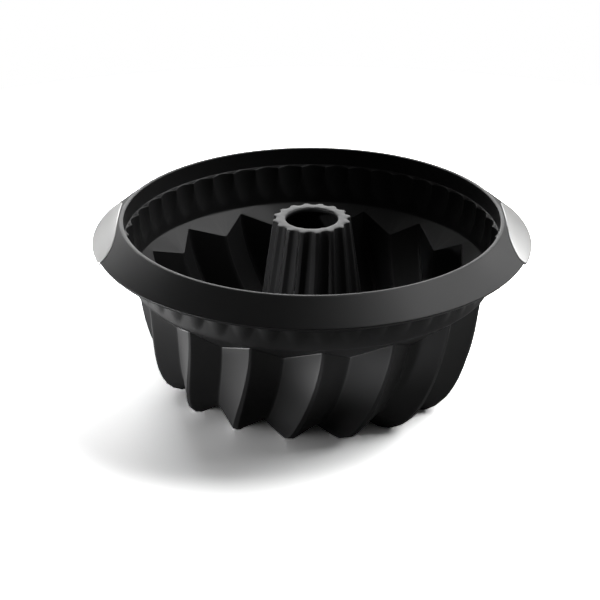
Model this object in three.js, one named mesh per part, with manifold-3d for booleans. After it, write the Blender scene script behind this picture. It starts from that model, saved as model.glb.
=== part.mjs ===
// Silicone fluted tube pan: one silicone moulding, a steel band inside its rim that keeps it round,
// and two steel grips let into the edge of the rim.
// Millimetres, +Z up, the origin at the centre of the base, +X through the right-hand grip.

import * as THREE from "three";
import { mergeVertices } from "three/addons/utils/BufferGeometryUtils.js";
import Module from "manifold-3d";

const wasm = await Module();
wasm.setup();

// Overall sizes
const rimRadius = 110;
const panHeight = 106.3;
const wall = 1.5;
const clearance = 0.3;

// Rim: a narrow flat top, and an apron that slopes out and down to a thinner lip
const rimTopWidth = 2.1;
const rimEdge = 0.5;
const apronReach = 15.4;
const apronDrop = 12.4;
const apronThickness = 4;
const lipThickness = 2.4;
const lipEdge = 0.6;
const underRimChamfer = 2;
const rimSides = 92;

// Collar: a ledge under the rim, and scallops scooped out of the wall, with round lower ends
const ledgeDepth = 10.9;
const ledgeRise = 0.5;
const ledgeWidth = 0.5;
const collarHeight = 23.6;
const collarDraft = 3.8;
const scallopCount = 45;
const scallopDepth = 2.3;
const scallopReach = 0.85;
const scallopTurn = 1.18;
const scallopPoints = 6;
const collarSteps = 3;

// Shoulder: a chamfer that cuts the upper ends of the flutes to a star
const shoulderWidth = 4.2;
const shoulderDrop = 2.6;
const shoulderCut = 9.4;

// Cake channel: the ridges run down the wall, over the floor and up the tube as its grooves
const fluteCount = 16;
const wallLean = 4.2;
const wallHandle = 37;
const footHandle = 21;
const footReach = 27.7;
const tubeFillet = 12;
const wallSteps = 7;
const filletSteps = 3;
const tubeSteps = 3;

// Flutes at the top and foot of the wall and at the foot and top of the tube
const fluteDepth = { wallTop: 6.2, wallFoot: 9.4, tubeFoot: 3, tubeTop: 2 };
const ridgeLand = { wallTop: 1, wallFoot: 3.5, tubeFoot: 4, tubeTop: 2.6 };
const crestLand = { wallTop: 0.8, wallFoot: 1.6, tubeFoot: 2.4, tubeTop: 2 };
const fluteTurn = { wallTop: 3.1, wallFoot: -14.5, tubeFoot: -13.6, tubeTop: -3.2 };
const crestShare = { wallTop: 0.43, wallFoot: 0.5, tubeFoot: 0.5, tubeTop: 0.5 };
const twistEase = 2.2;

// Tube: open at both ends, with a flat cap round its hole
const tubeTopRadius = 20.8;
const tubeTopDrop = 1.9;
const tubeTaper = 0.13;
const holeRadius = 15.3;
const capThickness = 2.5;
const boreTopRadius = 18.3;

// Steel band inside the apron
const bandInset = 5;
const bandWidth = 10;
const bandThickness = 1;

// Steel grips, let into the apron, with an outer edge that turns down over the lip
const gripSheet = 1.2;
const gripProud = 0.3;
const gripTurnDown = 2.4;
const gripEdge = 0.4;
const gripInset = 1.2;
const gripStraight = 60;
const gripInnerCorner = 18;
const gripOuterCorner = 3;
const gripArcSteps = 8;

// Heights and radii that follow from the sizes above
const ledgeZ = panHeight - ledgeDepth;
const collarTopRadius = rimRadius - ledgeWidth;
const collarFootZ = ledgeZ - ledgeRise - collarHeight;
const collarFootRadius = collarTopRadius - collarDraft;
const wallTop = new THREE.Vector2(collarFootRadius - shoulderWidth, collarFootZ - shoulderDrop);
const tubeTopZ = panHeight - tubeTopDrop;
const floorZ = wall;
const footTolerance = 0.05;
const mergeDistance = 1e-4;
const fullTurn = 2 * Math.PI;
const radians = THREE.MathUtils.degToRad;
const lerp = THREE.MathUtils.lerp;

// Apron frame: s runs down the slope from the rim's outer edge, n stands out from its face
const apronStart = new THREE.Vector2(rimRadius + rimTopWidth, panHeight);
const apronLength = Math.hypot(apronReach, apronDrop);
const slope = new THREE.Vector2(apronReach, -apronDrop).divideScalar(apronLength);
const outward = new THREE.Vector2(-slope.y, slope.x);

function apronPoint(s, n) {
  return apronStart.clone().addScaledVector(slope, s).addScaledVector(outward, n);
}

// Solids and geometries

function solidFrom(geometry) {
  const bare = geometry.clone();
  bare.deleteAttribute("normal");
  bare.deleteAttribute("uv");
  const merged = mergeVertices(bare, mergeDistance);
  const vertProperties = new Float32Array(merged.attributes.position.array);
  const triVerts = new Uint32Array(merged.index.array);
  return new wasm.Manifold(new wasm.Mesh({ numProp: 3, vertProperties, triVerts }));
}

function geometryFrom(solid) {
  const { numProp, vertProperties, triVerts } = solid.getMesh();
  const corners = [];
  for (let i = 0; i < vertProperties.length; i += numProp) {
    corners.push(vertProperties[i], vertProperties[i + 1], vertProperties[i + 2]);
  }
  const geometry = new THREE.BufferGeometry();
  geometry.setAttribute("position", new THREE.Float32BufferAttribute(corners, 3));
  geometry.setIndex(Array.from(triVerts));
  geometry.computeVertexNormals();
  return geometry;
}

// A profile of (radius, height) points, turned once round Z
function turnedSolid(profile) {
  const geometry = new THREE.LatheGeometry([...profile, profile[0]], rimSides);
  geometry.rotateX(Math.PI / 2);
  return solidFrom(geometry);
}

// Rings: closed rows of points round Z, in the order of their angles

function ringPoint(radius, angle, z) {
  return new THREE.Vector3(radius * Math.cos(angle), radius * Math.sin(angle), z);
}

function circleRing(radius, z, angles) {
  return angles.map((angle) => ringPoint(radius, angle, z));
}

function evenAngles(count) {
  return Array.from({ length: count }, (_, i) => (i * fullTurn) / count);
}

function ringAngles(ring) {
  return ring.map((point) => Math.atan2(point.y, point.x));
}

// Joins two rings with triangles. Rings of unlike counts are matched by their angles.
function joinRings(ringA, ringB, startA, startB, triangles) {
  const countA = ringA.length;
  const countB = ringB.length;
  const anglesA = ringAngles(ringA);
  const anglesB = ringAngles(ringB);
  const ahead = (angle, base) => THREE.MathUtils.euclideanModulo(angle - base, fullTurn);
  const near = (angle) => Math.abs(ahead(angle - anglesA[0] + Math.PI, 0) - Math.PI);
  const sameCount = countA === countB;
  const first = sameCount ? 0 : anglesB.reduce((best, a, i) => (near(a) < near(anglesB[best]) ? i : best), 0);
  const travelA = (i) => (i >= countA ? fullTurn : ahead(anglesA[i], anglesA[0]));
  const travelB = (i) => (i >= countB ? fullTurn : ahead(anglesB[(first + i) % countB], anglesB[first]));
  let a = 0;
  let b = 0;
  while (a < countA || b < countB) {
    const indexA = startA + (a % countA);
    const indexB = startB + ((first + b) % countB);
    const moveA = sameCount ? a <= b : b >= countB || (a < countA && travelA(a + 1) <= travelB(b + 1));
    if (moveA) {
      a += 1;
      triangles.push(indexA, startA + (a % countA), indexB);
    } else {
      b += 1;
      triangles.push(indexA, startB + ((first + b) % countB), indexB);
    }
  }
}

// A closed skin through a loop of rings, the last of which joins the first
function loopGeometry(rings) {
  const corners = [];
  const starts = [];
  for (const ring of rings) {
    starts.push(corners.length / 3);
    for (const point of ring) {
      corners.push(point.x, point.y, point.z);
    }
  }
  const triangles = [];
  rings.forEach((ring, i) => {
    const next = (i + 1) % rings.length;
    joinRings(ring, rings[next], starts[i], starts[next], triangles);
  });
  const geometry = new THREE.BufferGeometry();
  geometry.setAttribute("position", new THREE.Float32BufferAttribute(corners, 3));
  geometry.setIndex(triangles);
  return geometry;
}

// The far side of a wall. Each point of the inner rings moves until it is one wall away from all the faces
// that meet there. The first and last rings only lend their slope.
function offsetRings(rings, distance) {
  const count = rings[0].length;
  const faceNormal = (i, j) => {
    const next = (j + 1) % count;
    const across = rings[i + 1][next].clone().sub(rings[i][j]);
    const back = rings[i + 1][j].clone().sub(rings[i][next]);
    return across.cross(back).normalize();
  };
  const preferMean = 0.02;
  const movePoint = (i, j) => {
    const before = (j + count - 1) % count;
    const faces = [faceNormal(i - 1, before), faceNormal(i - 1, j), faceNormal(i, before), faceNormal(i, j)];
    const sum = faces.reduce((total, n) => total.add(n), new THREE.Vector3());
    const mean = sum.clone().normalize();
    const spread = (row, column) => {
      const own = faces.reduce((total, n) => total + n.getComponent(row) * n.getComponent(column), 0);
      return own + (row === column ? preferMean : 0);
    };
    const balance = new THREE.Matrix3();
    balance.set(
      spread(0, 0), spread(0, 1), spread(0, 2),
      spread(1, 0), spread(1, 1), spread(1, 2),
      spread(2, 0), spread(2, 1), spread(2, 2),
    );
    const move = sum.addScaledVector(mean, preferMean).applyMatrix3(balance.invert());
    return rings[i][j].clone().addScaledVector(move, -distance);
  };
  return rings.slice(1, -1).map((ring, i) => ring.map((_, j) => movePoint(i + 1, j)));
}

// Cake channel

const tubeFootRadius = tubeTopRadius + (tubeTopZ - floorZ) * tubeTaper;
const tubeFilletTop = new THREE.Vector2(tubeFootRadius - tubeFillet * tubeTaper, floorZ + tubeFillet);
const footPoint = new THREE.Vector2(wallTop.x - footReach, floorZ);
const filletStart = new THREE.Vector2(tubeFootRadius + tubeFillet, floorZ);

// The line that the ridges follow, on the cake side, from the shoulder down and up to the tube's top
function channelLine() {
  const wallSlope = new THREE.Vector2(-Math.sin(radians(wallLean)), -Math.cos(radians(wallLean)));
  const wallPull = wallSlope.multiplyScalar(wallHandle).add(wallTop);
  const footPull = new THREE.Vector2(footHandle, 0).add(footPoint);
  const tubeFoot = new THREE.Vector2(tubeFootRadius, floorZ);
  const tubeTop = new THREE.Vector2(tubeTopRadius, tubeTopZ);
  const line = new THREE.CurvePath();
  line.add(new THREE.CubicBezierCurve(wallTop, wallPull, footPull, footPoint));
  line.add(new THREE.LineCurve(footPoint, filletStart));
  line.add(new THREE.QuadraticBezierCurve(filletStart, tubeFoot, tubeFilletTop));
  line.add(new THREE.LineCurve(tubeFilletTop, tubeTop));
  return line;
}

const channel = channelLine();
const [wallFootAt, filletAt, tubeFootAt, tubeTopAt] = channel.getCurveLengths();

// A flute size, so many millimetres along the channel line
function alongChannel(size, at, ease = 1) {
  if (at <= wallFootAt) {
    return lerp(size.wallTop, size.wallFoot, (at / wallFootAt) ** ease);
  }
  if (at <= tubeFootAt) {
    return lerp(size.wallFoot, size.tubeFoot, (at - wallFootAt) / (tubeFootAt - wallFootAt));
  }
  return lerp(size.tubeFoot, size.tubeTop, (at - tubeFootAt) / (tubeTopAt - tubeFootAt));
}

// One ring of the channel: each flute has a flat land on its ridge, one on the crest beside it, and two facets
function fluteRing(at) {
  const cut = shoulderCut * Math.max(0, 1 - at / wallFootAt);
  const crestAt = at + cut;
  const pitch = fullTurn / fluteCount;
  const ridge = channel.getPoint(at / tubeTopAt);
  const root = channel.getPoint(crestAt / tubeTopAt);
  const along = channel.getTangent(crestAt / tubeTopAt);
  const crest = root.addScaledVector(new THREE.Vector2(along.y, -along.x), alongChannel(fluteDepth, crestAt));
  const ridgeTurn = radians(alongChannel(fluteTurn, at, twistEase));
  const ridgeAtCrest = radians(alongChannel(fluteTurn, crestAt, twistEase));
  const crestTurn = ridgeAtCrest + pitch * alongChannel(crestShare, crestAt);
  const ridgeHalf = alongChannel(ridgeLand, at) / 2 / ridge.x;
  const crestHalf = alongChannel(crestLand, crestAt) / 2 / crest.x;
  const ring = [];
  for (let flute = 0; flute < fluteCount; flute += 1) {
    const turn = flute * pitch;
    ring.push(ringPoint(ridge.x, ridgeTurn + turn - ridgeHalf, ridge.y));
    ring.push(ringPoint(ridge.x, ridgeTurn + turn + ridgeHalf, ridge.y));
    ring.push(ringPoint(crest.x, crestTurn + turn - crestHalf, crest.y));
    ring.push(ringPoint(crest.x, crestTurn + turn + crestHalf, crest.y));
  }
  return ring;
}

function channelStations() {
  const stations = [];
  const addSteps = (from, to, steps) => {
    for (let i = 0; i < steps; i += 1) {
      stations.push(lerp(from, to, i / steps));
    }
  };
  addSteps(0, wallFootAt, wallSteps);
  addSteps(wallFootAt, filletAt, 1);
  addSteps(filletAt, tubeFootAt, filletSteps);
  addSteps(tubeFootAt, tubeTopAt, tubeSteps);
  return [...stations, tubeTopAt];
}

// Collar

// One ring of the collar, so far down it: the scoops end where they run out of the plain wall
function scallopRing(fall) {
  const plainRadius = lerp(collarTopRadius - scallopDepth, collarFootRadius, fall);
  const z = ledgeZ - ledgeRise - collarHeight * fall;
  const pitch = fullTurn / scallopCount;
  const ring = [];
  for (let i = 0; i < scallopCount * scallopPoints; i += 1) {
    const across = (2 * (i % scallopPoints)) / scallopPoints - 1;
    const scoop = Math.max(0, 1 - across ** 2 - (fall / scallopReach) ** 2);
    const turn = radians(scallopTurn) + (i * pitch) / scallopPoints - pitch / 2;
    ring.push(ringPoint(plainRadius + scallopDepth * scoop, turn, z));
  }
  return ring;
}

function collarRings() {
  const rings = [];
  for (let i = 0; i < collarSteps; i += 1) {
    rings.push(scallopRing(i / collarSteps));
  }
  return rings;
}

// Rim section, from under the apron round the lip and over the top to the inside
function rimProfile() {
  const bandRadius = rimRadius + wall;
  const cornerS = (bandRadius - apronPoint(0, -apronThickness).x) / slope.x;
  const corner = apronPoint(cornerS, -apronThickness);
  return [
    new THREE.Vector2(bandRadius, corner.y - underRimChamfer),
    apronPoint(cornerS + underRimChamfer, -apronThickness),
    apronPoint(bandInset + bandWidth + clearance, -apronThickness),
    apronPoint(apronLength - lipEdge, -lipThickness),
    apronPoint(apronLength, lipEdge - lipThickness),
    apronPoint(apronLength, -lipEdge),
    apronPoint(apronLength - lipEdge, 0),
    apronPoint(rimEdge, 0),
    new THREE.Vector2(apronStart.x - rimEdge, panHeight),
    new THREE.Vector2(rimRadius + rimEdge, panHeight),
    new THREE.Vector2(rimRadius, panHeight - rimEdge),
  ];
}

function mouldSolid() {
  const flutes = channelStations().map(fluteRing);
  const star = flutes[0];
  const tubeFootRing = flutes.length - 1 - tubeSteps;
  const tubeTeeth = flutes.pop().map((point) => point.setZ(tubeTopZ));
  const shoulder = circleRing(collarFootRadius, collarFootZ, ringAngles(star));
  const collar = collarRings();
  const collarAngles = ringAngles(collar[0]);
  const bandFoot = circleRing(rimRadius, ledgeZ, collarAngles);

  // Rings that lend their slope to the ends of the two offset walls
  const aboveShoulder = circleRing(collarTopRadius, ledgeZ, ringAngles(star));
  const aboveBand = circleRing(rimRadius, panHeight, collarAngles);
  const belowCollar = circleRing(collarFootRadius, collarFootZ, collarAngles);
  const outerFlutes = offsetRings([aboveShoulder, shoulder, ...flutes.slice(0, tubeFootRing + 2)], wall);
  const outerCollar = offsetRings([aboveBand, bandFoot, ...collar, belowCollar], wall);
  for (const point of outerFlutes.flat()) {
    if (Math.abs(point.z) < footTolerance) {
      point.setZ(0);
    }
  }

  const boreAngles = ringAngles(tubeTeeth);
  const rimAngles = evenAngles(rimSides);
  return solidFrom(loopGeometry([
    bandFoot,
    ...collar,
    shoulder,
    ...flutes,
    tubeTeeth,
    circleRing(holeRadius, tubeTopZ, boreAngles),
    circleRing(holeRadius, tubeTopZ - capThickness, boreAngles),
    circleRing(boreTopRadius, tubeTopZ - capThickness, boreAngles),
    ...outerFlutes.reverse(),
    ...outerCollar.reverse(),
    ...rimProfile().map((point) => circleRing(point.x, point.y, rimAngles)),
  ]));
}

// Band and grips

const bandTop = gripProud - gripSheet - clearance;
const gripOutside = apronPoint(apronLength + clearance + gripSheet, gripProud).x;

function bandSolid(gap) {
  return turnedSolid([
    apronPoint(bandInset - gap, bandTop - bandThickness - gap),
    apronPoint(bandInset + bandWidth + gap, bandTop - bandThickness - gap),
    apronPoint(bandInset + bandWidth + gap, bandTop + gap),
    apronPoint(bandInset - gap, bandTop + gap),
  ]);
}

// The grip's outline seen from above, as an upright block. Its inner edge is straight, with large round
// corners, and small round corners lead from those to the lip. The block stays open outside the lip.
function gripBlock(gap) {
  const half = gripStraight / 2;
  const innerCentre = new THREE.Vector2(apronStart.x + gripInset + gripInnerCorner, half);
  const innerRadius = gripInnerCorner + gap;
  const outerRadius = gripOutside + gap;
  const cornerRadius = gripOuterCorner + gap;
  const toInner = gripInnerCorner - gripOuterCorner;
  const toAxis = gripOutside - gripOuterCorner;
  const apart = innerCentre.length();
  const along = (toAxis ** 2 - toInner ** 2 + apart ** 2) / (2 * apart);
  const aside = Math.sqrt(toAxis ** 2 - along ** 2);
  const axisTurn = innerCentre.angle() + Math.atan2(aside, along);
  const cornerCentre = new THREE.Vector2(toAxis * Math.cos(axisTurn), toAxis * Math.sin(axisTurn));
  const innerTurn = cornerCentre.clone().sub(innerCentre).angle();
  const outline = new THREE.Shape();
  outline.moveTo(outerRadius / Math.cos(axisTurn), 0);
  outline.lineTo(outerRadius * Math.cos(axisTurn), outerRadius * Math.sin(axisTurn));
  outline.absarc(cornerCentre.x, cornerCentre.y, cornerRadius, axisTurn, innerTurn, false);
  outline.absarc(innerCentre.x, half, innerRadius, innerTurn, Math.PI, false);
  outline.absarc(innerCentre.x, -half, innerRadius, Math.PI, -innerTurn, false);
  outline.absarc(cornerCentre.x, -cornerCentre.y, cornerRadius, -innerTurn, -axisTurn, false);
  const settings = { depth: 2 * panHeight, bevelEnabled: false, curveSegments: gripArcSteps };
  return solidFrom(new THREE.ExtrudeGeometry(outline, settings));
}

// Pressed sheet: a plate on the apron whose outer edge turns down over the lip
function gripSolid() {
  const inside = apronLength + clearance;
  const outside = inside + gripSheet;
  const foot = gripProud - gripTurnDown;
  const pressed = turnedSolid([
    apronPoint(0, gripProud - gripSheet),
    apronPoint(inside, gripProud - gripSheet),
    apronPoint(inside, foot),
    apronPoint(outside, foot),
    apronPoint(outside, gripProud - gripEdge),
    apronPoint(outside - gripEdge, gripProud),
    apronPoint(0, gripProud),
  ]);
  return pressed.intersect(gripBlock(0));
}

// Recess in the apron under a grip's plate, down to the band that the plate seats on
function gripRecess() {
  const beyond = apronThickness;
  const slab = turnedSolid([
    apronPoint(0, bandTop),
    apronPoint(apronLength + beyond, bandTop),
    apronPoint(apronLength + beyond, beyond),
    apronPoint(0, beyond),
  ]);
  return slab.intersect(gripBlock(clearance));
}

// Assembly

const halfTurn = new THREE.Matrix4().makeRotationZ(Math.PI);
const silicone = new THREE.MeshStandardMaterial({ color: 0x17181a, roughness: 0.62, metalness: 0 });
const bandSteel = new THREE.MeshStandardMaterial({ color: 0x9a9da0, roughness: 0.4, metalness: 1 });
const gripSteel = new THREE.MeshStandardMaterial({ color: 0xd6d8da, roughness: 0.35, metalness: 1 });

function turnedHalf(solid) {
  return solidFrom(geometryFrom(solid).applyMatrix4(halfTurn));
}

function piece(name, solid, material) {
  const mesh = new THREE.Mesh(geometryFrom(solid), material);
  mesh.name = name;
  return mesh;
}

const rightGrip = gripSolid();
const rightRecess = gripRecess();
const mould = mouldSolid()
  .subtract(bandSolid(clearance))
  .subtract(rightRecess)
  .subtract(turnedHalf(rightRecess));

const pan = new THREE.Group();
pan.add(piece("silicone_mould", mould, silicone));
pan.add(piece("rim_band", bandSolid(0), bandSteel));
pan.add(piece("right_grip", rightGrip, gripSteel));
pan.add(piece("left_grip", turnedHalf(rightGrip), gripSteel.clone()));

export default pan;
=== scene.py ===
"""Looks of the silicone fluted tube pan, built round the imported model.

Sizes are millimetres and degrees until a mesh is made, which is in metres. +Z is up, +X runs through the
right-hand grip, and the photograph looks along +Y."""

import math
from collections import namedtuple

import bpy
import numpy as np
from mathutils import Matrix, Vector


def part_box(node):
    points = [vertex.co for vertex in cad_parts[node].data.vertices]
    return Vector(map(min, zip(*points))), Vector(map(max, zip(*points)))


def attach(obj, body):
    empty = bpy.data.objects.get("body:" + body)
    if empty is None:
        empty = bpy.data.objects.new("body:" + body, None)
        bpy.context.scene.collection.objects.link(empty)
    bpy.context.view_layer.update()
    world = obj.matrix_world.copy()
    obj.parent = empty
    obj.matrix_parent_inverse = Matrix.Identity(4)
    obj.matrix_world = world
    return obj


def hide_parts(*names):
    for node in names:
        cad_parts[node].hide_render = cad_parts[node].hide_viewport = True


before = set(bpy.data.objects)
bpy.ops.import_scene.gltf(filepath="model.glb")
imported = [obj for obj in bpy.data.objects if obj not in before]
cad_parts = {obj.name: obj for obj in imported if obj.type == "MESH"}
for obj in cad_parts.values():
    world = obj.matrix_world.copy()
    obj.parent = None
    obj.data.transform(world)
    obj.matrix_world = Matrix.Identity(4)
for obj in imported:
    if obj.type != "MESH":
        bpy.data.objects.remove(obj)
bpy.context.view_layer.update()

MM = 0.001
FULL_TURN = 2 * math.pi

# Silicone: the wall of the rim and collar, and the thinner wall of the flutes
WALL = 1.5
FLUTE_WALL = 0.9

# Rim: a narrow flat top, and an apron that slopes out and down to a thinner lip
RIM_RADIUS = 110
PAN_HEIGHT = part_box("silicone_mould")[1].z / MM
RIM_TOP_WIDTH = 2.1
APRON_REACH = 15.4
APRON_DROP = 12.4
APRON_THICKNESS = 4
LIP_THICKNESS = 2.4
UNDER_RIM_CHAMFER = 2

# Collar: a ledge under the rim, and scallops scooped out of the wall, with round lower ends
LEDGE_DEPTH = 10.9
LEDGE_RISE = 0.5
LEDGE_WIDTH = 0.5
COLLAR_HEIGHT = 23.6
COLLAR_DRAFT = 3.8
SCALLOP_COUNT = 45
SCALLOP_DEPTH = 2.3
SCALLOP_REACH = 0.85
FIRST_CUSP = 5.18

# Shoulder: a chamfer that cuts the upper ends of the flutes to a star
SHOULDER_WIDTH = 3.25
SHOULDER_DROP = 2.9
SHOULDER_CUT = 9.3

# Cake channel: the ridges run down the wall, over the floor and up the tube as its grooves
FLUTE_COUNT = 16
WALL_LEAN = 6.4
WALL_HANDLE = 37
FOOT_HANDLE = 21
FOOT_REACH = 28.6
TUBE_FILLET = 12
TWIST_EASE = 1.7
TUBE_TOP_RADIUS = 20.8
TUBE_TOP_DROP = 1.9
TUBE_TAPER = 0.13
HOLE_RADIUS = 15.3
CAP_THICKNESS = 2.5
BORE_TOP_RADIUS = 18.3

# Flute sizes at the top and foot of the wall and at the foot and top of the tube
Along = namedtuple("Along", "wall_top wall_foot tube_foot tube_top")
FLUTE_DEPTH = Along(8.05, 9.4, 3, 2)
FLUTE_TURN = Along(3.2, -12.0, -13.6, -3.2)
RIDGE_LAND = Along(1, 3.5, 4, 2.6)
CREST_LAND = Along(0.8, 1.6, 2.4, 2)
LEAST_CREST_LAND = 0.4
CREST_SHARE = Along(0.43, 0.5, 0.5, 0.5)
RIDGE_ROUND = Along(0.1, 0.1, 0.6, 0.7)
CREST_ROUND = Along(0.08, 0.08, 0.2, 0.25)

# Roundings of the moulded edges, and the most of a stretch that one may take
RIM_EDGE = 1.0
UNDER_RIM_EDGE = 0.7
LIP_EDGE = 0.6
LEDGE_EDGE = 0.4
SHOULDER_EDGE = 0.6
STAR_EDGE = 0.35
TUBE_EDGE = 0.5
HOLE_EDGE = 1.6
INNER_EDGE = 0.3
MOST_ROUNDING = 0.45

# Grips: pressed sheet let into the apron, with an outer edge that turns down over the lip
CLEARANCE = 0.3
GRIP_SHEET = 1.2
GRIP_PROUD = 0.3
GRIP_TURN_DOWN = 2.4
GRIP_LEAST_LIP = 0.01
GRIP_END_FADE = 3
GRIP_INSET = 1.2
GRIP_STRAIGHT = 46
GRIP_INNER_CORNER = 36
GRIP_OUTER_CORNER = 3
GRIP_BEND = 0.9
GRIP_FOLD = 0.2
GRIP_EDGE = 0.3

# Recess for a grip: how far its cutter goes past the lip and above the apron
RECESS_PAST_LIP = 6
RECESS_ABOVE = 4

# Steel band inside the apron
BAND_INSET = 5
BAND_WIDTH = 10
BAND_THICKNESS = 1

# Mesh steps of the mould
COLUMNS = 720
CUSP_COLUMN = 10
CURVE_SAMPLES = 240
COLLAR_ROWS = 10
SHOULDER_SHARES = (0.2, 0.5, 0.8)
WALL_ROWS = 18
FLOOR_ROWS = 3
FILLET_ROWS = 6
TUBE_ROWS = 7
BORE_ROWS = 5
OUTER_WALL_ROWS = 13
ARC_STEPS = 3
BESIDE_STAR = 1.3
BESIDE_EDGE = 1.0
BELOW_STAR = 1.0
CORNER_GATHERING = 1.7
FLUTE_EDGE_FALL = 8
WELD = 1e-6
SHARP_FROM = 40

# Mesh steps of the grips and the cutters. The last column of a grip stays just short of its pointed end
GRIP_COLUMNS = 161
GRIP_ARC_STEPS = 4
GRIP_LAST_COLUMN = 0.9995
GRIP_PLATE_SHARES = (0.35, 0.7)
GRIP_PLATE_ROUNDING = 0.1
BAND_COLUMNS = 184

# Finishes. The grain is the scale of the streaks, on the grip's UV map or on the band's own place
SILICONE_DARK = (0.009, 0.009, 0.0095, 1)
SILICONE_PALE = (0.014, 0.014, 0.0145, 1)
SILICONE_EDGE = (0.03, 0.03, 0.031, 1)
SILICONE_ROUGHNESS = 0.44
SILICONE_IOR = 1.41
GRIP_STEEL = (0.56, 0.56, 0.555)
GRIP_ROUGHNESS = 0.36
GRIP_GRAIN = (60.0, 5000.0, 1.0)
BAND_STEEL = (0.55, 0.56, 0.57)
BAND_ROUGHNESS = 0.45
BAND_GRAIN = (60.0, 60.0, 5000.0)
STREAK_DIMMING = 0.9

# Camera that was fitted to the photograph
CAMERA_PLACE = (-6.9, -1026.8, 534.5)
CAMERA_TILT = 64.8
CAMERA_LENS = 114
SENSOR_WIDTH = 36
CAMERA_SIGHT = 50

# Floor: its grey for light, its white for the camera, and the distance in metres where it turns plain white
FLOOR_REACH = 4000
FLOOR_GREY = (0.2, 0.2, 0.2, 1)
FLOOR_WHITE = (4.2, 4.2, 4.2, 1)
MIRRORED_FLOOR = 0.06
FLOOR_FADE_START = 0.3
FLOOR_FADE_LENGTH = 0.3

# Surroundings: dim light all round, and a white backdrop low behind the pan, as parts of a direction
ROOM_LIGHT = (0.03, 0.03, 0.03, 1)
PLAIN_WHITE = (1, 1, 1, 1)
BACKDROP_START = 0.1
BACKDROP_START_FADE = 0.2
BACKDROP_TOP = 0.5
BACKDROP_TOP_FADE = 0.15

# Lamps: places and sizes in millimetres, power in watts, and the spread of the beam
Lamp = namedtuple("Lamp", "name place aim width height power spread")
PAN_MIDDLE = (0, 0, 50)
LEFT_WALL = (0, -10, 30)
TUBE_SIDE = (-8, -4, 72)
FRONT_FLUTES = (52, -80, 58)
WIDE = 180
LAMPS = [
    Lamp("key", (690, 55, 1380), PAN_MIDDLE, 600, 600, 6.5, WIDE),
    Lamp("right back", (1010, 430, 900), PAN_MIDDLE, 1200, 950, 9.0, WIDE),
    Lamp("low left strip", (-440, 30, 6.5), LEFT_WALL, 600, 10, 4.4, WIDE),
    Lamp("left back", (-300, 250, 420), PAN_MIDDLE, 200, 200, 0.1, WIDE),
    Lamp("tube light", (-550, -230, 410), TUBE_SIDE, 40, 40, 0.016, 8),
    Lamp("flute light", (-330, -480, 10), FRONT_FLUTES, 50, 15, 0.011, 6),
    Lamp("back card", (-100, 1200, 520), PAN_MIDDLE, 1200, 400, 7.5, WIDE),
]

# Heights and radii that follow from the sizes above
LEDGE_Z = PAN_HEIGHT - LEDGE_DEPTH
COLLAR_TOP = np.array([RIM_RADIUS - LEDGE_WIDTH, LEDGE_Z - LEDGE_RISE])
COLLAR_FOOT = COLLAR_TOP - [COLLAR_DRAFT, COLLAR_HEIGHT]
WALL_TOP = COLLAR_FOOT - [SHOULDER_WIDTH, SHOULDER_DROP]
TUBE_TOP_Z = PAN_HEIGHT - TUBE_TOP_DROP
FLOOR_Z = FLUTE_WALL
APRON_START = np.array([RIM_RADIUS + RIM_TOP_WIDTH, PAN_HEIGHT])
APRON_LENGTH = math.hypot(APRON_REACH, APRON_DROP)
APRON_SLOPE = np.array([APRON_REACH, -APRON_DROP]) / APRON_LENGTH
APRON_OUTWARD = np.array([APRON_DROP, APRON_REACH]) / APRON_LENGTH
BAND_TOP = GRIP_PROUD - GRIP_SHEET - CLEARANCE
FLUTE_PITCH = FULL_TURN / FLUTE_COUNT


# Node trees


class Value:
    """A node socket in a Python expression. Each operator adds a Math node, or a Vector Math node."""

    def __init__(self, nodes, socket):
        self.nodes = nodes
        self.socket = socket

    def is_vector(self):
        return self.socket.type == "VECTOR"

    def math(self, operation, *others):
        return self.nodes.math(operation, self, *others)

    def __add__(self, other):
        return self.nodes.vector_math("ADD", self, other) if self.is_vector() else self.math("ADD", other)

    __radd__ = __add__

    def __sub__(self, other):
        if self.is_vector():
            return self.nodes.vector_math("SUBTRACT", self, other)
        return self.math("SUBTRACT", other)

    def __rsub__(self, other):
        return self.nodes.math("SUBTRACT", other, self)

    def __mul__(self, other):
        if self.is_vector():
            return self.nodes.add("ShaderNodeVectorMath", {"operation": "SCALE"}, {0: self, "Scale": other})
        return self.math("MULTIPLY", other)

    __rmul__ = __mul__

    def __truediv__(self, other):
        return self.math("DIVIDE", other)

    def __rtruediv__(self, other):
        return self.nodes.math("DIVIDE", other, self)

    def __mod__(self, other):
        return self.math("FLOORED_MODULO", other)

    def __pow__(self, other):
        return self.math("POWER", other)

    def __neg__(self):
        return self * -1

    def __gt__(self, other):
        return self.math("GREATER_THAN", other)

    def __lt__(self, other):
        return self.math("LESS_THAN", other)

    def __abs__(self):
        return self.math("ABSOLUTE")

    def floor(self):
        return self.math("FLOOR")

    def or_more(self, other):
        """The larger of this value and the other."""
        return self.math("MAXIMUM", other)

    def clamp(self, low, high):
        return self.or_more(low).math("MINIMUM", high)

    def to(self, other, share):
        """This value at share 0, the other at share 1."""
        return self + (other - self) * share


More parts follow.
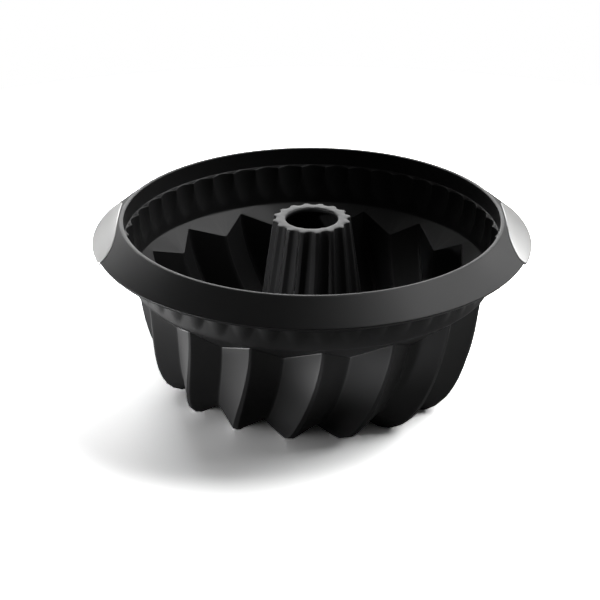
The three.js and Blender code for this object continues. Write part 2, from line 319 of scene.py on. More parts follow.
class Nodes:
    """Adds nodes to one tree."""

    def __init__(self, tree):
        self.tree = tree

    def add(self, kind, settings=None, sockets=None, out=0):
        """One node: its settings, then the values or links of its sockets. Returns the output out."""
        node = self.tree.nodes.new(kind)
        for name, value in (settings or {}).items():
            setattr(node, name, value)
        for key, value in (sockets or {}).items():
            socket = self.find(node.inputs, key)
            if isinstance(value, Value):
                self.tree.links.new(value.socket, socket)
            else:
                socket.default_value = value
        return node if out is None else Value(self, self.find(node.outputs, out))

    @staticmethod
    def find(sockets, key):
        if isinstance(key, int):
            return sockets[key]
        return next(s for s in sockets if s.enabled and key in (s.name, s.identifier))

    def math(self, operation, *values):
        return self.add("ShaderNodeMath", {"operation": operation}, dict(enumerate(values)))

    def vector_math(self, operation, *values):
        return self.add("ShaderNodeVectorMath", {"operation": operation}, dict(enumerate(values)))

    def mix_colour(self, share, first, second):
        sockets = {"Factor_Float": share, "A_Color": first, "B_Color": second}
        return self.add("ShaderNodeMix", {"data_type": "RGBA"}, sockets, "Result_Color")

    def mix_shader(self, share, first, second):
        return self.add("ShaderNodeMixShader", None, {0: share, 1: first, 2: second})

    def polar(self, radius, turn, height):
        """A point at a radius and a turn round Z."""
        sockets = {"X": radius * turn.math("COSINE"), "Y": radius * turn.math("SINE"), "Z": height}
        return self.add("ShaderNodeCombineXYZ", None, sockets)

    def stored(self, geometry, name, value):
        settings = {"data_type": "FLOAT", "domain": "POINT"}
        sockets = {"Geometry": geometry, "Name": name, "Value": value}
        return self.add("GeometryNodeStoreNamedAttribute", settings, sockets)

    def attribute(self, name):
        settings = {"data_type": "FLOAT"}
        return self.add("GeometryNodeInputNamedAttribute", settings, {"Name": name}, "Attribute")

    def noise(self, place, scale, detail):
        sockets = {"Vector": place, "Scale": scale, "Detail": detail}
        return self.add("ShaderNodeTexNoise", None, sockets, "Fac")

    def bump(self, height, strength, distance):
        sockets = {"Strength": strength, "Distance": distance, "Height": height}
        return self.add("ShaderNodeBump", None, sockets)


# Objects


def linked(name, data):
    obj = bpy.data.objects.new(name, data)
    bpy.context.scene.collection.objects.link(obj)
    return obj


def mesh_from(name, corners, faces):
    """A mesh in metres from corners in millimetres."""
    mesh = bpy.data.meshes.new(name)
    mesh.from_pydata((np.asarray(corners) * MM).tolist(), [], faces)
    mesh.update()
    return mesh


def with_modifiers_applied(obj):
    depsgraph = bpy.context.evaluated_depsgraph_get()
    mesh = bpy.data.meshes.new_from_object(obj.evaluated_get(depsgraph), depsgraph=depsgraph)
    obj.modifiers.clear()
    obj.data = mesh
    mesh.name = obj.name
    return obj


def faces_between(first, second, count):
    """Faces between two closed loops of points, which begin at the given numbers."""
    faces = []
    for j in range(count):
        k = (j + 1) % count
        faces.append((first + j, first + k, second + k, second + j))
    return faces


def strip_faces(loops, count):
    """Faces between equal closed loops of points, one after another, with a cap on each end."""
    faces = []
    for i in range(loops - 1):
        faces += faces_between(i * count, (i + 1) * count, count)
    last = (loops - 1) * count
    faces.append(tuple(reversed(range(count))))
    faces.append(tuple(last + j for j in range(count)))
    return faces


def ring_faces(loops, count):
    """Faces between equal closed loops of points, where the last joins the first."""
    faces = []
    for i in range(loops):
        faces += faces_between(i * count, (i + 1) % loops * count, count)
    return faces


# Apron


def apron_point(s, n):
    """A point s down the apron's slope from the rim's outer edge and n out from its face."""
    return APRON_START + APRON_SLOPE * s + APRON_OUTWARD * n


def on_apron(s, n, turn):
    """The same point turned round Z."""
    radius, height = apron_point(s, n)
    return radius * math.cos(turn), radius * math.sin(turn), height


def down_apron(radius, n):
    """How far down the apron's slope a radius lies, n out from its face."""
    return (radius - APRON_START[0] - APRON_OUTWARD[0] * n) / APRON_SLOPE[0]


# Mould section: rows of one closed line round the pan's wall. A row is a circle, a fluted ring or a mix

Row = namedtuple(
    "Row",
    "radius height scoop fall coarse edge fluted ridge_radius ridge_height crest_radius crest_height "
    "ridge_turn crest_turn ridge_land crest_land ridge_round crest_round",
)


def mix(first, second, share):
    return Row(*(a + (b - a) * share for a, b in zip(first, second)))


def plain(row, place, coarse=0.0):
    return row._replace(radius=place[0], height=place[1], coarse=coarse, fluted=0.0)


def ridge_place(row):
    circle = np.array([row.radius, row.height])
    ridge = np.array([row.ridge_radius, row.ridge_height])
    return circle + (ridge - circle) * row.fluted


def crest_place(row):
    return np.array([row.crest_radius, row.crest_height])


def mitre(before, corner, after, distance):
    """Where the corner of a line goes when the line moves outwards by a distance."""
    normals = []
    for start, end in ((before, corner), (corner, after)):
        along = (end - start) / np.linalg.norm(end - start)
        normals.append(np.array([-along[1], along[0]]))
    return corner + distance * (normals[0] + normals[1]) / (1 + normals[0] @ normals[1])


class ChannelLine:
    """The line that the ridges follow on the cake side, from the shoulder down and up to the tube's top."""

    def __init__(self):
        self.points = np.concatenate([self.wall(), self.fillet(), [[TUBE_TOP_RADIUS, TUBE_TOP_Z]]])
        steps = np.linalg.norm(np.diff(self.points, axis=0), axis=1)
        self.lengths = np.concatenate([[0], np.cumsum(steps)])
        self.wall_foot = self.lengths[CURVE_SAMPLES - 1]
        self.fillet_start = self.lengths[CURVE_SAMPLES]
        self.tube_foot = self.lengths[2 * CURVE_SAMPLES - 1]
        self.tube_top = self.lengths[-1]

    @staticmethod
    def wall():
        """The wall and its foot, as a curve with a handle at each end."""
        share = np.linspace(0, 1, CURVE_SAMPLES)[:, None]
        left = 1 - share
        lean = math.radians(WALL_LEAN)
        wall_pull = WALL_TOP - np.array([math.sin(lean), math.cos(lean)]) * WALL_HANDLE
        foot = np.array([WALL_TOP[0] - FOOT_REACH, FLOOR_Z])
        foot_pull = foot + [FOOT_HANDLE, 0]
        upper = left**3 * WALL_TOP + 3 * left**2 * share * wall_pull
        return upper + 3 * left * share**2 * foot_pull + share**3 * foot

    @staticmethod
    def fillet():
        """The curve from the floor into the tube."""
        share = np.linspace(0, 1, CURVE_SAMPLES)[:, None]
        left = 1 - share
        corner = np.array([TUBE_TOP_RADIUS + (TUBE_TOP_Z - FLOOR_Z) * TUBE_TAPER, FLOOR_Z])
        start = corner + [TUBE_FILLET, 0]
        end = corner + [-TUBE_FILLET * TUBE_TAPER, TUBE_FILLET]
        return left**2 * start + 2 * left * share * corner + share**2 * end

    def place(self, at):
        return np.array([np.interp(at, self.lengths, self.points[:, i]) for i in range(2)])

    def cakeward(self, at):
        """The direction from the wall into the cake."""
        reach = 0.2
        low = max(at - reach, 0)
        high = min(at + reach, self.tube_top)
        along = self.place(high) - self.place(low)
        along = along / np.linalg.norm(along)
        return np.array([along[1], -along[0]])

    def size(self, sizes, at, ease=1):
        """A flute size so many millimetres along the line."""
        if at <= self.wall_foot:
            return sizes.wall_top + (sizes.wall_foot - sizes.wall_top) * (at / self.wall_foot) ** ease
        knots = [self.wall_foot, self.tube_foot, self.tube_top]
        return float(np.interp(at, knots, sizes[1:]))


LINE = ChannelLine()
FLOOR_STATIONS = np.linspace(LINE.wall_foot, LINE.fillet_start, FLOOR_ROWS + 1)[1:]
FILLET_STATIONS = np.linspace(LINE.fillet_start, LINE.tube_foot, FILLET_ROWS + 1)[1:]


def flute_row(at, wall=0.0):
    """The fluted ring so far along the channel line, moved out of the cake by the wall's thickness."""
    crest_at = at + SHOULDER_CUT * max(0, 1 - at / LINE.wall_foot)
    depth = LINE.size(FLUTE_DEPTH, crest_at)
    ridge = LINE.place(at)
    crest = LINE.place(crest_at) + LINE.cakeward(crest_at) * depth
    ridge_land = LINE.size(RIDGE_LAND, at)
    crest_land = LINE.size(CREST_LAND, crest_at)
    facet_slope = math.atan2(depth, (ridge[0] * FLUTE_PITCH - ridge_land) / 2)
    ridge = ridge - LINE.cakeward(at) * wall
    crest = crest - LINE.cakeward(crest_at) * wall / math.cos(facet_slope)
    growth = 2 * wall * math.tan(facet_slope / 2)
    ridge_turn = math.radians(LINE.size(FLUTE_TURN, at, TWIST_EASE))
    turn_at_crest = math.radians(LINE.size(FLUTE_TURN, crest_at, TWIST_EASE))
    return Row(
        radius=0.0,
        height=0.0,
        scoop=0.0,
        fall=1.0,
        coarse=float(at > LINE.wall_foot),
        edge=0.0,
        fluted=1.0,
        ridge_radius=ridge[0],
        ridge_height=ridge[1],
        crest_radius=crest[0],
        crest_height=crest[1],
        ridge_turn=ridge_turn,
        crest_turn=turn_at_crest + FLUTE_PITCH * LINE.size(CREST_SHARE, crest_at),
        ridge_land=(ridge_land + growth) / 2 / ridge[0],
        crest_land=max(crest_land - growth, LEAST_CREST_LAND) / 2 / crest[0],
        ridge_round=LINE.size(RIDGE_ROUND, at),
        crest_round=LINE.size(CREST_ROUND, crest_at),
    )


def rows_between(first, second, count):
    return [mix(first, second, (i + 1) / (count + 1)) for i in range(count)]


def unrounded(rows):
    return [(row, 0) for row in rows]


def softened(corners):
    """The rows of a closed line with rounded corners. A corner is a row and the length of its rounding."""
    rows = []
    for i, (row, size) in enumerate(corners):
        if not size:
            rows.append(row)
            continue
        near = []
        for other in (corners[i - 1][0], corners[(i + 1) % len(corners)][0]):
            stretch = np.linalg.norm(ridge_place(other) - ridge_place(row))
            near.append(mix(row, other, min(size / stretch, MOST_ROUNDING)))
        for step in range(ARC_STEPS + 1):
            share = step / ARC_STEPS
            bent = mix(mix(near[0], row, share), mix(row, near[1], share), share)
            rows.append(bent._replace(edge=1.0 - abs(2 * share - 1)))
    return rows


def scooped(row, fall):
    """A plain row of the collar with its part of the scallops, so far down the collar."""
    return row._replace(scoop=SCALLOP_DEPTH, fall=fall / SCALLOP_REACH)


def collar_rows(top, foot):
    shares = (np.arange(COLLAR_ROWS) + 1) / (COLLAR_ROWS + 1)
    return [scooped(mix(top, foot, share), share) for share in shares]


def shoulder_corners(foot, star):
    """The shoulder between the collar's foot and the star, with rows beside its edges that keep it flat."""
    between = unrounded(mix(foot, star, share) for share in SHOULDER_SHARES)
    return [(foot, SHOULDER_EDGE), *between, (star, STAR_EDGE)]


def tube_end_corners():
    """The toothed top of the tube and the hole through it."""
    teeth = flute_row(LINE.tube_top)
    teeth = teeth._replace(radius=HOLE_RADIUS, height=TUBE_TOP_Z, crest_height=TUBE_TOP_Z)
    hole = plain(teeth, (HOLE_RADIUS, TUBE_TOP_Z), coarse=1.0)
    cap_foot = plain(teeth, (HOLE_RADIUS, TUBE_TOP_Z - CAP_THICKNESS), coarse=1.0)
    return [(teeth, TUBE_EDGE), (mix(teeth, hole, 0.5), 0), (hole, HOLE_EDGE), (cap_foot, INNER_EDGE)]


def cake_side_corners(star, ledge):
    """The cake side, from the ledge down, over the floor and up the tube."""
    collar_foot = star._replace(fluted=0.0)
    collar_top = scooped(plain(star, COLLAR_TOP - [SCALLOP_DEPTH, 0]), 0)
    wall_stations = [BESIDE_STAR, *np.linspace(0, LINE.wall_foot, WALL_ROWS + 1)[1:]]
    tube_stations = np.linspace(LINE.tube_foot, LINE.tube_top, TUBE_ROWS + 2)[1:-1]
    stations = [*wall_stations, *FLOOR_STATIONS, *FILLET_STATIONS, *tube_stations]
    corners = [(ledge, LEDGE_EDGE), (collar_top, LEDGE_EDGE)]
    corners += unrounded(collar_rows(collar_top, collar_foot))
    corners += shoulder_corners(collar_foot, star)
    corners += unrounded(flute_row(at) for at in stations)
    return corners + tube_end_corners()


def bore_corners():
    """The inside of the tube from below, which goes from a circle at its top to flutes at its foot."""
    height = TUBE_TOP_Z - CAP_THICKNESS
    foot = flute_row(LINE.tube_foot, FLUTE_WALL)._replace(radius=BORE_TOP_RADIUS, height=height, coarse=1.0)
    top = foot._replace(fluted=0.0)
    return [(top, INNER_EDGE), *unrounded(rows_between(top, foot, BORE_ROWS))]


def outer_shoulder(star):
    """The outer star and the outer foot of the collar, one wall away from the inner ones."""
    below = flute_row(BELOW_STAR)
    ridge = mitre(COLLAR_FOOT, ridge_place(star), ridge_place(below), FLUTE_WALL)
    crest = mitre(COLLAR_FOOT, crest_place(star), crest_place(below), FLUTE_WALL)
    foot = mitre(COLLAR_TOP, COLLAR_FOOT, ridge_place(star), FLUTE_WALL)
    outer_star = flute_row(0, FLUTE_WALL)._replace(
        radius=foot[0],
        height=foot[1],
        ridge_radius=ridge[0],
        ridge_height=ridge[1],
        crest_radius=crest[0],
        crest_height=crest[1],
    )
    return outer_star, outer_star._replace(fluted=0.0)


def outside_corners(star, ledge):
    """The outside, from the floor's underside up to the ledge."""
    outer_wall = [*np.linspace(LINE.wall_foot, 0, OUTER_WALL_ROWS + 1)[:-1], BESIDE_STAR]
    stations = [*FILLET_STATIONS[::-1], *FLOOR_STATIONS[::-1], *outer_wall]
    corners = unrounded(flute_row(at, FLUTE_WALL) for at in stations)
    outer_star, outer_foot = outer_shoulder(star)
    outer_ledge = mitre(np.array([RIM_RADIUS, PAN_HEIGHT]), ridge_place(ledge), COLLAR_TOP, WALL)
    outer_top = mitre(ridge_place(ledge), COLLAR_TOP, COLLAR_FOOT, WALL)
    outer_top = scooped(plain(outer_star, outer_top - [SCALLOP_DEPTH, 0]), 0)
    corners += shoulder_corners(outer_foot, outer_star)[::-1]
    corners += unrounded(reversed(collar_rows(outer_top, outer_foot)))
    corners += [(outer_top, LEDGE_EDGE), (plain(outer_star, outer_ledge), LEDGE_EDGE)]
    return corners


def rim_corners(base):
    """The rim from under the apron round the lip and over the top, as plain rows with their roundings."""
    corner_s = down_apron(RIM_RADIUS + WALL, -APRON_THICKNESS)
    corner = apron_point(corner_s, -APRON_THICKNESS)
    stations = [
        (corner - [0, UNDER_RIM_CHAMFER], UNDER_RIM_EDGE),
        (apron_point(corner_s + UNDER_RIM_CHAMFER, -APRON_THICKNESS), UNDER_RIM_EDGE),
        (apron_point(BAND_INSET + BAND_WIDTH + CLEARANCE, -APRON_THICKNESS), UNDER_RIM_EDGE),
        (apron_point(APRON_LENGTH, -LIP_THICKNESS), LIP_EDGE),
        (apron_point(APRON_LENGTH, -BESIDE_EDGE), 0),
        (apron_point(APRON_LENGTH, 0), LIP_EDGE),
        (apron_point(APRON_LENGTH - BESIDE_EDGE, 0), 0),
        (apron_point(BESIDE_EDGE, 0), 0),
        (apron_point(0, 0), RIM_EDGE),
        (np.array([RIM_RADIUS, PAN_HEIGHT]), RIM_EDGE),
        (np.array([RIM_RADIUS, PAN_HEIGHT - BESIDE_EDGE]), 0),
    ]
    return [(plain(base, place, coarse=1.0), size) for place, size in stations]


def section_rows():
    star = flute_row(0)._replace(radius=COLLAR_FOOT[0], height=COLLAR_FOOT[1])
    ledge = plain(star, (RIM_RADIUS, LEDGE_Z))
    corners = cake_side_corners(star, ledge)
    corners += bore_corners()
    corners += outside_corners(star, ledge)
    corners += rim_corners(star)
    return softened(corners)


def section_mesh():
    """The section as a closed wire whose points carry the values of their rows."""
    rows = section_rows()
    count = len(rows)
    mesh = bpy.data.meshes.new("mould section")
    corners = [(row.radius * MM, 0, row.height * MM) for row in rows]
    mesh.from_pydata(corners, [(i, (i + 1) % count) for i in range(count)], [])
    for field in Row._fields:
        attribute = mesh.attributes.new("row_" + field, "FLOAT", "POINT")
        attribute.data.foreach_set("value", [getattr(row, field) for row in rows])
    return mesh


# Mould

MOULD_INPUTS = {
    "Section": "NodeSocketGeometry",
    "Columns": "NodeSocketInt",
    "Flutes": "NodeSocketInt",
    "Scallops": "NodeSocketInt",
    "First cusp": "NodeSocketFloat",
    "Cusp column": "NodeSocketInt",
    "Unit": "NodeSocketFloat",
    "Material": "NodeSocketMaterial",
}


def mould_tree():
    """Turns the section round Z, with flutes and scallops, as a Geometry Nodes tree."""
    tree = bpy.data.node_groups.new("fluted mould", "GeometryNodeTree")
    for name, kind in MOULD_INPUTS.items():
        tree.interface.new_socket(name, in_out="INPUT", socket_type=kind)
    tree.interface.new_socket("Mould", in_out="OUTPUT", socket_type="NodeSocketGeometry")
    nodes = Nodes(tree)
    group = nodes.add("NodeGroupInput", out=None)
    size = {name: Value(nodes, group.outputs[name]) for name in MOULD_INPUTS}
    skin = swept_skin(nodes, size)
    row = Row(*(nodes.attribute("row_" + field) for field in Row._fields))
    column = nodes.attribute("row_column")
    column = column - (column % 2) * (row.coarse > 0.5)
    ring = scalloped_ring(nodes, size, row, column)
    fluted, past_corner = fluted_ring(nodes, size, row, column)
    place = (ring + (fluted - ring) * row.fluted) * size["Unit"]
    edge = row.edge.or_more(row.fluted * (1 - abs(past_corner) * FLUTE_EDGE_FALL).clamp(0, 1))
    placed = nodes.add("GeometryNodeSetPosition", None, {"Geometry": skin, "Position": place})
    finish_mould(nodes, nodes.stored(placed, "edge", edge), size["Material"])
    return tree


def swept_skin(nodes, size):
    """The section swept round a circle. Only the order of its points matters, as they are placed later."""
    section = nodes.add("GeometryNodeMeshToCurve", None, {"Mesh": size["Section"]})
    sockets = {"Resolution": size["Columns"]}
    circle = nodes.add("GeometryNodeCurvePrimitiveCircle", {"mode": "RADIUS"}, sockets)
    numbered = nodes.stored(circle, "row_column", nodes.add("GeometryNodeInputIndex"))
    return nodes.add("GeometryNodeCurveToMesh", None, {"Curve": numbered, "Profile Curve": section})


def scalloped_ring(nodes, size, row, column):
    past_cusp = column - size["Cusp column"]
    turn = size["First cusp"] + past_cusp * (FULL_TURN / size["Columns"])
    across = (past_cusp * size["Scallops"] / size["Columns"]) % 1 * 2 - 1
    hollow = (1 - across * across - row.fall * row.fall).or_more(0)
    return nodes.polar(row.radius + row.scoop * hollow, turn, row.height)


def fluted_ring(nodes, size, row, column):
    """The place on the fluted ring, and how far it lies from the nearest corner of its flute.

    A flute has four corners: 0 and 1 on its ridge, 2 and 3 on its crest. 4 and 5 are on the next ridge."""
    flute_turns = column * size["Flutes"] / size["Columns"]
    flute = flute_turns.floor()
    in_corners = (flute_turns - flute) * 4
    nearest = in_corners.floor() + 1
    spread = (in_corners - in_corners.floor()) * 2 - 1
    past_corner = spread.math("SIGN") * abs(spread) ** CORNER_GATHERING

    def is_crest(number):
        return abs(number - 2.5) < 1

    def corner_place(number):
        on_crest = is_crest(number)
        side = number % 2 * 2 - 1
        pitch = FULL_TURN / size["Flutes"]
        turn = row.ridge_turn.to(row.crest_turn, on_crest) + pitch * (flute + (number > 3.5))
        turn = turn + side * row.ridge_land.to(row.crest_land, on_crest)
        radius = row.ridge_radius.to(row.crest_radius, on_crest)
        return nodes.polar(radius, turn, row.ridge_height.to(row.crest_height, on_crest))

    here = corner_place(nearest)
    rounding = row.ridge_round.to(row.crest_round, is_crest(nearest))
    back = (corner_place(nearest - 1) - here) * (past_rounded(-past_corner, rounding) * 0.5)
    onward = (corner_place(nearest + 1) - here) * (past_rounded(past_corner, rounding) * 0.5)
    return here + back + onward, past_corner


def past_rounded(way, rounding):
    """How far past a rounded corner, where a sharp one gives the distance or nothing."""
    eased = way.clamp(-rounding, rounding) + rounding
    return eased * eased / (rounding * 4) + (way - rounding).or_more(0)


def finish_mould(nodes, placed, material):
    """Drops the rows' values, welds the skin, turns it outwards and gives it its material."""
    sockets = {0: placed, "Name": "row_*"}
    bare = nodes.add("GeometryNodeRemoveAttribute", {"pattern_mode": "WILDCARD"}, sockets)
    welded = nodes.add("GeometryNodeMergeByDistance", None, {"Geometry": bare, "Distance": WELD})
    outwards = nodes.add("GeometryNodeFlipFaces", None, {"Mesh": welded})
    smooth = nodes.add("GeometryNodeSetShadeSmooth", None, {0: outwards, "Shade Smooth": True})
    real = nodes.add("GeometryNodeRealizeInstances", None, {0: smooth})
    finished = nodes.add("GeometryNodeSetMaterial", None, {"Geometry": real, "Material": material})
    nodes.add("NodeGroupOutput", None, {"Mould": finished}, None)


def pan_mould(material):
    mould = linked("pan_mould", section_mesh())
    tree = mould_tree()
    sizes = {
        "Columns": COLUMNS,
        "Flutes": FLUTE_COUNT,
        "Scallops": SCALLOP_COUNT,
        "First cusp": math.radians(FIRST_CUSP),
        "Cusp column": CUSP_COLUMN,
        "Unit": MM,
        "Material": material,
    }
    modifier = mould.modifiers.new("Fluted mould", "NODES")
    modifier.node_group = tree
    for item in tree.interface.items_tree:
        if item.name in sizes:
            modifier[item.identifier] = sizes[item.name]
    return with_modifiers_applied(mould)


# Grips


class GripOutline:
    """The grip seen from above: a straight inner edge, large round corners and small ones at the lip."""

    def __init__(self):
        self.half = GRIP_STRAIGHT / 2
        self.inner_x = APRON_START[0] + GRIP_INSET
        self.outside = apron_point(APRON_LENGTH + CLEARANCE + GRIP_SHEET, GRIP_PROUD)[0]
        self.inner_centre = np.array([self.inner_x + GRIP_INNER_CORNER, self.half])
        to_inner = GRIP_INNER_CORNER - GRIP_OUTER_CORNER
        to_axis = self.outside - GRIP_OUTER_CORNER
        apart = np.linalg.norm(self.inner_centre)
        along = (to_axis**2 - to_inner**2 + apart**2) / (2 * apart)
        aside = math.sqrt(to_axis**2 - along**2)
        self.lip_turn = math.atan2(self.half, self.inner_centre[0]) + math.atan2(aside, along)
        self.corner_centre = to_axis * np.array([math.cos(self.lip_turn), math.sin(self.lip_turn)])
        self.end_turn = self.lip_turn + math.asin(GRIP_OUTER_CORNER / to_axis)
        reach = self.corner_centre - self.inner_centre
        touch = self.corner_centre + reach / np.linalg.norm(reach) * GRIP_OUTER_CORNER
        self.touch_turn = math.atan2(touch[1], touch[0])

    @staticmethod
    def crossings(turn, centre, radius):
        """The near and far radius at which a ray from the axis crosses a circle."""
        ahead = centre @ [math.cos(turn), math.sin(turn)]
        half_chord = math.sqrt(max(radius**2 - (centre @ centre - ahead**2), 0))
        return ahead - half_chord, ahead + half_chord

    def radii(self, turn):
        """The inner and outer radius at an angle from the grip's middle."""
        turn = min(abs(turn), self.end_turn)
        outer = self.outside
        if turn > self.lip_turn:
            outer = self.crossings(turn, self.corner_centre, GRIP_OUTER_CORNER)[1]
        if turn > self.touch_turn:
            return self.crossings(turn, self.corner_centre, GRIP_OUTER_CORNER)[0], outer
        if self.inner_x * math.tan(turn) > self.half:
            return self.crossings(turn, self.inner_centre, GRIP_INNER_CORNER)[0], outer
        return self.inner_x / math.cos(turn), outer


OUTLINE = GripOutline()


def grip_turns(end):
    """Angles from one end of a grip to the other, closer together towards the ends."""
    return end * np.sin(np.linspace(-math.pi / 2, math.pi / 2, GRIP_COLUMNS))


def rounded_loop(corners, steps):
    """A closed line through (place, rounding) corners, with a short curve at each."""
    loop = []
    for i, (corner, size) in enumerate(corners):
        near = []
        for other, _ in (corners[i - 1], corners[(i + 1) % len(corners)]):
            stretch = max(np.linalg.norm(other - corner), 1e-6)
            near.append(corner + (other - corner) * min(size / stretch, MOST_ROUNDING))
        for step in range(steps + 1):
            share = step / steps
            first = near[0] + (corner - near[0]) * share
            second = corner + (near[1] - corner) * share
            loop.append(first + (second - first) * share)
    return loop


def grip_section(turn):
    """The pressed sheet cut across at an angle from the grip's middle, down the slope and out from it."""
    inner, outer = (down_apron(radius, GRIP_PROUD) for radius in OUTLINE.radii(turn))
    fade = (OUTLINE.end_turn - abs(turn)) / math.radians(GRIP_END_FADE)
    fade = min(fade, 1) ** 0.5
    drop = GRIP_SHEET + (GRIP_TURN_DOWN - GRIP_SHEET) * fade
    sheet = min(GRIP_SHEET, 0.5 * (outer - inner))
    top = GRIP_PROUD
    foot = top - drop - GRIP_LEAST_LIP
    plate = [((inner + (outer - inner) * share, top), GRIP_PLATE_ROUNDING) for share in GRIP_PLATE_SHARES]
    corners = [
        ((inner, top), GRIP_EDGE),
        *plate,
        ((outer, top), GRIP_BEND),
        ((outer, foot), GRIP_EDGE),
        ((outer - sheet, foot), GRIP_EDGE),
        ((outer - sheet, top - GRIP_SHEET), GRIP_FOLD),
        ((inner, top - GRIP_SHEET), GRIP_EDGE),
    ]
    return rounded_loop([(np.array(place), size) for place, size in corners], GRIP_ARC_STEPS)


def grip_piece(name, turned, material):
    """One grip, whose UV map runs along it and down its slope, in metres."""
    corners = []
    spread = []
    for turn in grip_turns(OUTLINE.end_turn * GRIP_LAST_COLUMN):
        for s, n in grip_section(turn):
            corners.append(on_apron(s, n, turn + turned))
            spread.append((turn * OUTLINE.outside * MM, s * MM))
    mesh = mesh_from(name, corners, strip_faces(GRIP_COLUMNS, len(corners) // GRIP_COLUMNS))
    mesh.shade_smooth()
    layer = mesh.uv_layers.new(name="along_grip")
    for loop in mesh.loops:
        layer.data[loop.index].uv = spread[loop.vertex_index]
    mesh.materials.append(material)
    return linked(name, mesh)


# Room in the rim for the grips and the band


def recess_cutter(turned):
    """The space under a grip's plate, open outside the lip."""
    beyond = APRON_LENGTH + RECESS_PAST_LIP
    corners = []
    for turn in grip_turns(OUTLINE.end_turn + CLEARANCE / OUTLINE.outside):
        inner = down_apron(OUTLINE.radii(turn)[0], GRIP_PROUD) - CLEARANCE
        loop = ((inner, BAND_TOP), (inner, RECESS_ABOVE), (beyond, RECESS_ABOVE), (beyond, BAND_TOP))
        corners += [on_apron(s, n, turn + turned) for s, n in loop]
    return linked("recess_cutter", mesh_from("recess cutter", corners, strip_faces(GRIP_COLUMNS, 4)))


def channel_cutter():
    """The ring inside the apron that holds the band."""
    start = BAND_INSET - CLEARANCE
    end = BAND_INSET + BAND_WIDTH + CLEARANCE
    low = BAND_TOP - BAND_THICKNESS - CLEARANCE
    high = BAND_TOP + CLEARANCE
    loop = ((start, low), (start, high), (end, high), (end, low))
    corners = []
    for turn in np.linspace(0, FULL_TURN, BAND_COLUMNS, endpoint=False):
        corners += [on_apron(s, n, turn) for s, n in loop]
    return linked("channel_cutter", mesh_from("channel cutter", corners, ring_faces(BAND_COLUMNS, 4)))


def cut(obj, cutters):
    for cutter in cutters:
        modifier = obj.modifiers.new("Cut", "BOOLEAN")
        modifier.operation = "DIFFERENCE"
        modifier.solver = "MANIFOLD"
        modifier.object = cutter
    with_modifiers_applied(obj)
    for cutter in cutters:
        mesh = cutter.data
        bpy.data.objects.remove(cutter)
        bpy.data.meshes.remove(mesh)
    obj.data.set_sharp_from_angle(angle=math.radians(SHARP_FROM))


# Materials


def new_material(name):
    material = bpy.data.materials.new(name)
    material.use_nodes = True
    material.node_tree.nodes.clear()
    return material, Nodes(material.node_tree)


def finish_material(nodes, shader):
    nodes.add("ShaderNodeOutputMaterial", None, {"Surface": shader}, None)


def silicone_material():
    """Matt black, a little cloudy, with a fine grain and paler edges."""
    material, nodes = new_material("black silicone")
    place = nodes.add("ShaderNodeTexCoord", out="Object")
    cloud = nodes.noise(place, scale=30.0, detail=3.0)
    grain = nodes.noise(place, scale=2400.0, detail=2.0)
    edge = nodes.add("ShaderNodeAttribute", {"attribute_name": "edge"}, out="Fac")
    colour = nodes.mix_colour(cloud, SILICONE_DARK, SILICONE_PALE)
    sockets = {
        "Base Color": nodes.mix_colour(edge * 0.5, colour, SILICONE_EDGE),
        "Roughness": SILICONE_ROUGHNESS + (cloud - 0.5) * 0.12 + (grain - 0.5) * 0.06,
        "IOR": SILICONE_IOR,
        "Normal": nodes.bump(grain, strength=0.12, distance=0.00005),
    }
    finish_material(nodes, nodes.add("ShaderNodeBsdfPrincipled", None, sockets))
    return material


def brushed_material(name, colour, roughness, along, grain):
    """Satin steel with fine streaks, which follow one of the piece's coordinates."""
    material, nodes = new_material(name)
    place = nodes.add("ShaderNodeTexCoord", out=along)
    stretched = nodes.add("ShaderNodeMapping", None, {"Vector": place, "Scale": grain})
    streaks = nodes.noise(stretched, scale=1.0, detail=4.0)
    cloud = nodes.noise(nodes.add("ShaderNodeTexCoord", out="Object"), scale=40.0, detail=2.0)
    dim = tuple(c * STREAK_DIMMING for c in colour)
    sockets = {
        "Base Color": nodes.mix_colour(streaks, (*dim, 1), (*colour, 1)),
        "Metallic": 1.0,
        "Roughness": roughness + (streaks - 0.5) * 0.16 + (cloud - 0.5) * 0.06,
        "Normal": nodes.bump(streaks, strength=0.1, distance=0.00002),
    }
    finish_material(nodes, nodes.add("ShaderNodeBsdfPrincipled", None, sockets))
    return material


def floor_material():
    """White where the camera sees it in full light or far away, and grey in the light it throws back."""
    material, nodes = new_material("studio floor")
    path = nodes.add("ShaderNodeLightPath", out=None)
    seen = Value(nodes, path.outputs["Is Camera Ray"])
    mirrored = Value(nodes, path.outputs["Is Glossy Ray"])
    place = nodes.add("ShaderNodeTexCoord", out="Object")
    away = nodes.add("ShaderNodeVectorMath", {"operation": "LENGTH"}, {0: place}, "Value")
    far = ((away - FLOOR_FADE_START) / FLOOR_FADE_LENGTH).clamp(0, 1)
    grey = nodes.add("ShaderNodeBsdfDiffuse", None, {"Color": FLOOR_GREY})
    white = nodes.add("ShaderNodeBsdfDiffuse", None, {"Color": FLOOR_WHITE})
    shine = nodes.add("ShaderNodeEmission", None, {"Color": PLAIN_WHITE, "Strength": 1.0})
    lit = nodes.mix_shader(seen.or_more(mirrored * MIRRORED_FLOOR), grey, white)
    finish_material(nodes, nodes.mix_shader(seen * far, lit, shine))
    return material


# Stage


def floor():
    reach = FLOOR_REACH
    corners = [(-reach, -reach, 0), (reach, -reach, 0), (reach, reach, 0), (-reach, reach, 0)]
    obj = linked("studio_floor", mesh_from("studio floor", corners, [(0, 1, 2, 3)]))
    obj.data.materials.append(floor_material())


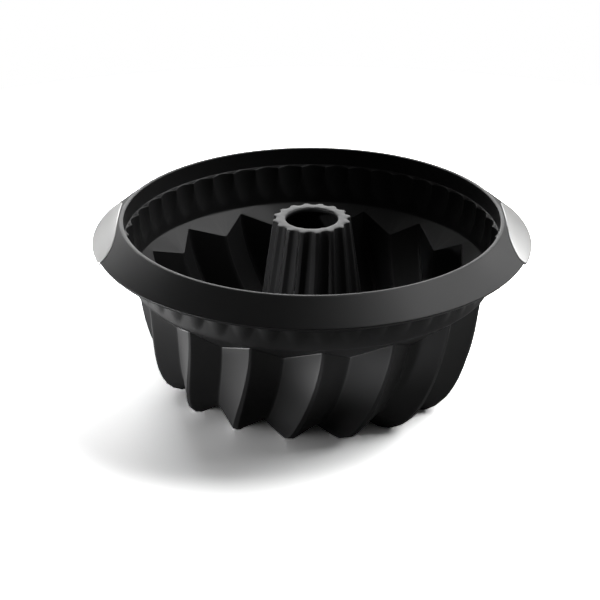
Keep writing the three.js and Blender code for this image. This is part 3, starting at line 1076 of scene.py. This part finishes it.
def lights():
    """Area lights, each turned from its place towards its aim."""
    for lamp in LAMPS:
        light = bpy.data.lights.new(lamp.name, "AREA")
        light.shape = "RECTANGLE"
        light.size = lamp.width * MM
        light.size_y = lamp.height * MM
        light.energy = lamp.power
        light.spread = math.radians(lamp.spread)
        obj = linked(lamp.name, light)
        obj.location = Vector(lamp.place) * MM
        away = Vector(lamp.place) - Vector(lamp.aim)
        obj.rotation_euler = away.to_track_quat("Z", "Y").to_euler()


def surroundings():
    """Dim all round, and a white backdrop behind the object for the camera and for what mirrors it."""
    world = bpy.data.worlds.new("studio")
    world.use_nodes = True
    bpy.context.scene.world = world
    world.node_tree.nodes.clear()
    nodes = Nodes(world.node_tree)
    path = nodes.add("ShaderNodeLightPath", out=None)
    seen = Value(nodes, path.outputs["Is Camera Ray"])
    mirrored = Value(nodes, path.outputs["Is Glossy Ray"])
    through = Value(nodes, path.outputs["Is Transmission Ray"])
    way = nodes.add("ShaderNodeTexCoord", out="Generated")
    back = nodes.add("ShaderNodeSeparateXYZ", None, {0: way}, "Y")
    up = nodes.add("ShaderNodeSeparateXYZ", None, {0: way}, "Z")
    behind = ((back - BACKDROP_START) / BACKDROP_START_FADE).clamp(0, 1)
    low = ((BACKDROP_TOP - up) / BACKDROP_TOP_FADE).clamp(0, 1)
    dim = nodes.add("ShaderNodeBackground", None, {"Color": ROOM_LIGHT})
    white = nodes.add("ShaderNodeBackground", None, {"Color": PLAIN_WHITE})
    shown = seen.or_more(through).or_more(mirrored * (behind * low))
    nodes.add("ShaderNodeOutputWorld", None, {"Surface": nodes.mix_shader(shown, dim, white)}, None)


def camera():
    data = bpy.data.cameras.new("photograph")
    data.lens = CAMERA_LENS
    data.sensor_width = SENSOR_WIDTH
    data.clip_end = CAMERA_SIGHT
    obj = linked("photograph", data)
    obj.location = Vector(CAMERA_PLACE) * MM
    obj.rotation_euler = (math.radians(CAMERA_TILT), 0, 0)
    bpy.context.scene.camera = obj


# The pan put together


def put_on_pan(piece, node):
    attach(piece, "root")
    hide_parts(node)


def dress_band(material):
    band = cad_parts["rim_band"]
    band.data.materials.clear()
    band.data.materials.append(material)


def main():
    camera()
    grip_steel = brushed_material("satin grip steel", GRIP_STEEL, GRIP_ROUGHNESS, "UV", GRIP_GRAIN)
    band_steel = brushed_material("band steel", BAND_STEEL, BAND_ROUGHNESS, "Object", BAND_GRAIN)
    mould = pan_mould(silicone_material())
    cut(mould, [channel_cutter(), recess_cutter(0), recess_cutter(math.pi)])
    put_on_pan(mould, "silicone_mould")
    put_on_pan(grip_piece("grip_right", 0, grip_steel), "right_grip")
    put_on_pan(grip_piece("grip_left", math.pi, grip_steel), "left_grip")
    dress_band(band_steel)
    floor()
    lights()
    surroundings()
    bpy.context.scene.view_settings.view_transform = "Standard"


main()
